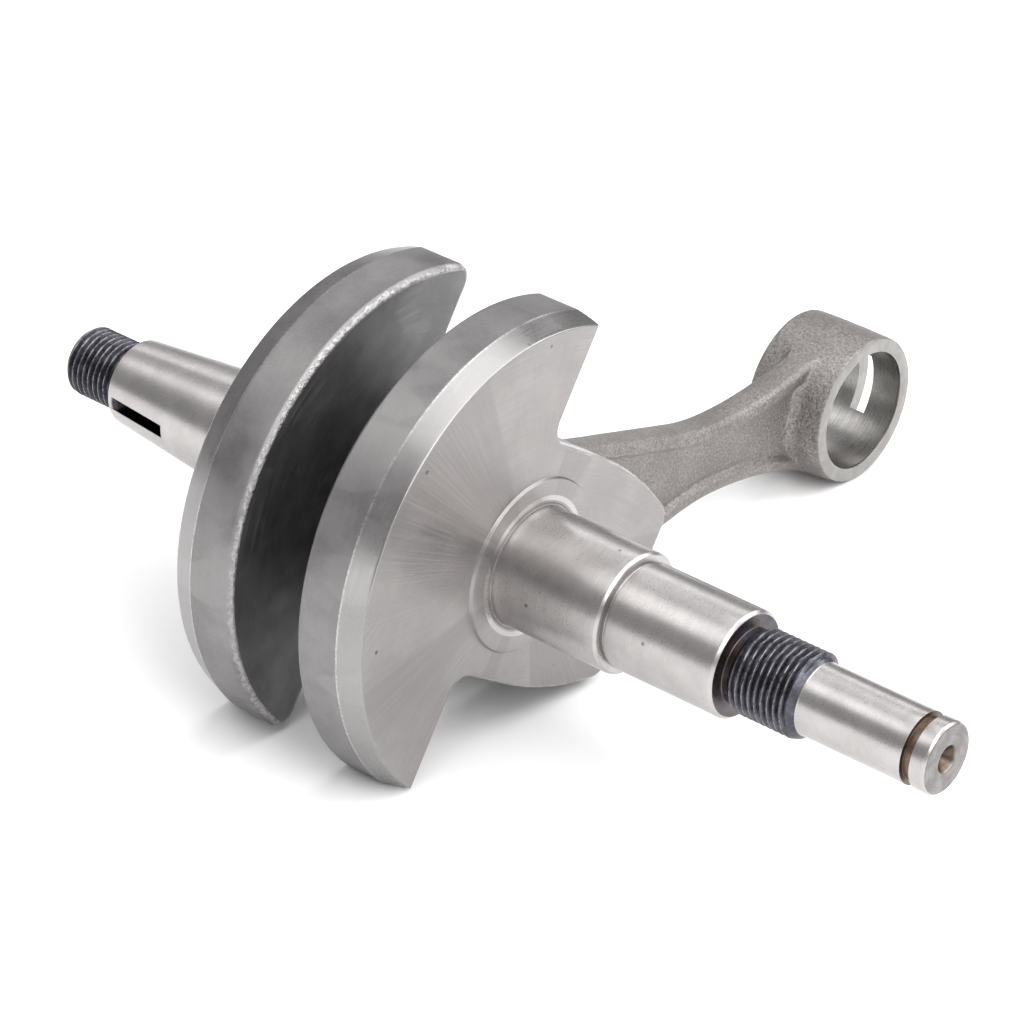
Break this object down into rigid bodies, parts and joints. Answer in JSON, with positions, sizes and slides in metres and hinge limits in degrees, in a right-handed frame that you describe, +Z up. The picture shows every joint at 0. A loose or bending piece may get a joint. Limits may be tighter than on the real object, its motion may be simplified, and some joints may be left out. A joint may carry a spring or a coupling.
{
  "type": "crankshaft",
  "caption": "Built-up single-cylinder crankshaft with bevelled counterweights, a tapered flywheel end, a stepped drive end and a needle-bearing connecting rod.",
  "frame": {"origin": "middle of the base of the whole assembly's box, on the surface that it lies on", "axes": "+X along the main shaft towards the drive end, +Z up, +Y the way the connecting rod points at rest"},
  "size_m": [0.1484, 0.1354, 0.0595],
  "materials": {
    "ground_crank_steel": "turned and ground steel, satin, with darkened threads and reliefs",
    "forged_rod_steel": "blasted forging with machined small-end faces and honed bores",
    "bearing_steel": "ground and polished bearing steel",
    "cage_steel": "stamped steel, matt"
  },
  "bodies": {
    "crank": {"drive_side_crank_half": "ground_crank_steel", "flywheel_side_crank_half": "ground_crank_steel", "crankpin": "bearing_steel"},
    "rod": {"connecting_rod": "forged_rod_steel"},
    "cage": {"big_end_needle_cage": "cage_steel"},
    "washer_drive_side": {"thrust_washer_drive_side": "cage_steel"},
    "washer_flywheel_side": {"thrust_washer_flywheel_side": "cage_steel"},
    "roller_01": {"needle_roller_01": "bearing_steel"},
    "roller_02": {"needle_roller_02": "bearing_steel"},
    "roller_03": {"needle_roller_03": "bearing_steel"},
    "roller_04": {"needle_roller_04": "bearing_steel"},
    "roller_05": {"needle_roller_05": "bearing_steel"},
    "roller_06": {"needle_roller_06": "bearing_steel"},
    "roller_07": {"needle_roller_07": "bearing_steel"},
    "roller_08": {"needle_roller_08": "bearing_steel"},
    "roller_09": {"needle_roller_09": "bearing_steel"},
    "roller_10": {"needle_roller_10": "bearing_steel"},
    "roller_11": {"needle_roller_11": "bearing_steel"},
    "roller_12": {"needle_roller_12": "bearing_steel"},
    "roller_13": {"needle_roller_13": "bearing_steel"}
  },
  "joints": [
    {"name": "rod_swing", "type": "hinge", "parent": "crank", "child": "rod", "pos_m": [-0.00895, -0.01654, 0.01519], "axis": [1, 0, 0], "continuous": true},
    {"name": "cage_turn", "type": "hinge", "parent": "crank", "child": "cage", "pos_m": [-0.00895, -0.01654, 0.01519], "axis": [1, 0, 0], "continuous": true},
    {"name": "washer_turn_drive_side", "type": "hinge", "parent": "crank", "child": "washer_drive_side", "pos_m": [-0.00895, -0.01654, 0.01519], "axis": [1, 0, 0], "continuous": true},
    {"name": "washer_turn_flywheel_side", "type": "hinge", "parent": "crank", "child": "washer_flywheel_side", "pos_m": [-0.00895, -0.01654, 0.01519], "axis": [1, 0, 0], "continuous": true},
    {"name": "roller_01_spin", "type": "hinge", "parent": "cage", "child": "roller_01", "pos_m": [-0.00895, -0.009, 0.01479], "axis": [1, 0, 0], "continuous": true},
    {"name": "roller_02_spin", "type": "hinge", "parent": "cage", "child": "roller_02", "pos_m": [-0.00895, -0.00968, 0.01834], "axis": [1, 0, 0], "continuous": true},
    {"name": "roller_03_spin", "type": "hinge", "parent": "cage", "child": "roller_03", "pos_m": [-0.00895, -0.01193, 0.02116], "axis": [1, 0, 0], "continuous": true},
    {"name": "roller_04_spin", "type": "hinge", "parent": "cage", "child": "roller_04", "pos_m": [-0.00895, -0.01524, 0.02262], "axis": [1, 0, 0], "continuous": true},
    {"name": "roller_05_spin", "type": "hinge", "parent": "cage", "child": "roller_05", "pos_m": [-0.00895, -0.01884, 0.02237], "axis": [1, 0, 0], "continuous": true},
    {"name": "roller_06_spin", "type": "hinge", "parent": "cage", "child": "roller_06", "pos_m": [-0.00895, -0.02192, 0.02048], "axis": [1, 0, 0], "continuous": true},
    {"name": "roller_07_spin", "type": "hinge", "parent": "cage", "child": "roller_07", "pos_m": [-0.00895, -0.02376, 0.01738], "axis": [1, 0, 0], "continuous": true},
    {"name": "roller_08_spin", "type": "hinge", "parent": "cage", "child": "roller_08", "pos_m": [-0.00895, -0.02395, 0.01377], "axis": [1, 0, 0], "continuous": true},
    {"name": "roller_09_spin", "type": "hinge", "parent": "cage", "child": "roller_09", "pos_m": [-0.00895, -0.02244, 0.01048], "axis": [1, 0, 0], "continuous": true},
    {"name": "roller_10_spin", "type": "hinge", "parent": "cage", "child": "roller_10", "pos_m": [-0.00895, -0.01958, 0.00828], "axis": [1, 0, 0], "continuous": true},
    {"name": "roller_11_spin", "type": "hinge", "parent": "cage", "child": "roller_11", "pos_m": [-0.00895, -0.01602, 0.00765], "axis": [1, 0, 0], "continuous": true},
    {"name": "roller_12_spin", "type": "hinge", "parent": "cage", "child": "roller_12", "pos_m": [-0.00895, -0.01258, 0.00876], "axis": [1, 0, 0], "continuous": true},
    {"name": "roller_13_spin", "type": "hinge", "parent": "cage", "child": "roller_13", "pos_m": [-0.00895, -0.01005, 0.01133], "axis": [1, 0, 0], "continuous": true}
  ],
  "couplings": [
    {"joint": "cage_turn", "follows": "rod_swing", "ratio": 0.58278},
    {"joint": "roller_01_spin", "follows": "rod_swing", "ratio": 2.9372},
    {"joint": "roller_02_spin", "follows": "rod_swing", "ratio": 2.9372},
    {"joint": "roller_03_spin", "follows": "rod_swing", "ratio": 2.9372},
    {"joint": "roller_04_spin", "follows": "rod_swing", "ratio": 2.9372},
    {"joint": "roller_05_spin", "follows": "rod_swing", "ratio": 2.9372},
    {"joint": "roller_06_spin", "follows": "rod_swing", "ratio": 2.9372},
    {"joint": "roller_07_spin", "follows": "rod_swing", "ratio": 2.9372},
    {"joint": "roller_08_spin", "follows": "rod_swing", "ratio": 2.9372},
    {"joint": "roller_09_spin", "follows": "rod_swing", "ratio": 2.9372},
    {"joint": "roller_10_spin", "follows": "rod_swing", "ratio": 2.9372},
    {"joint": "roller_11_spin", "follows": "rod_swing", "ratio": 2.9372},
    {"joint": "roller_12_spin", "follows": "rod_swing", "ratio": 2.9372},
    {"joint": "roller_13_spin", "follows": "rod_swing", "ratio": 2.9372}
  ]
}
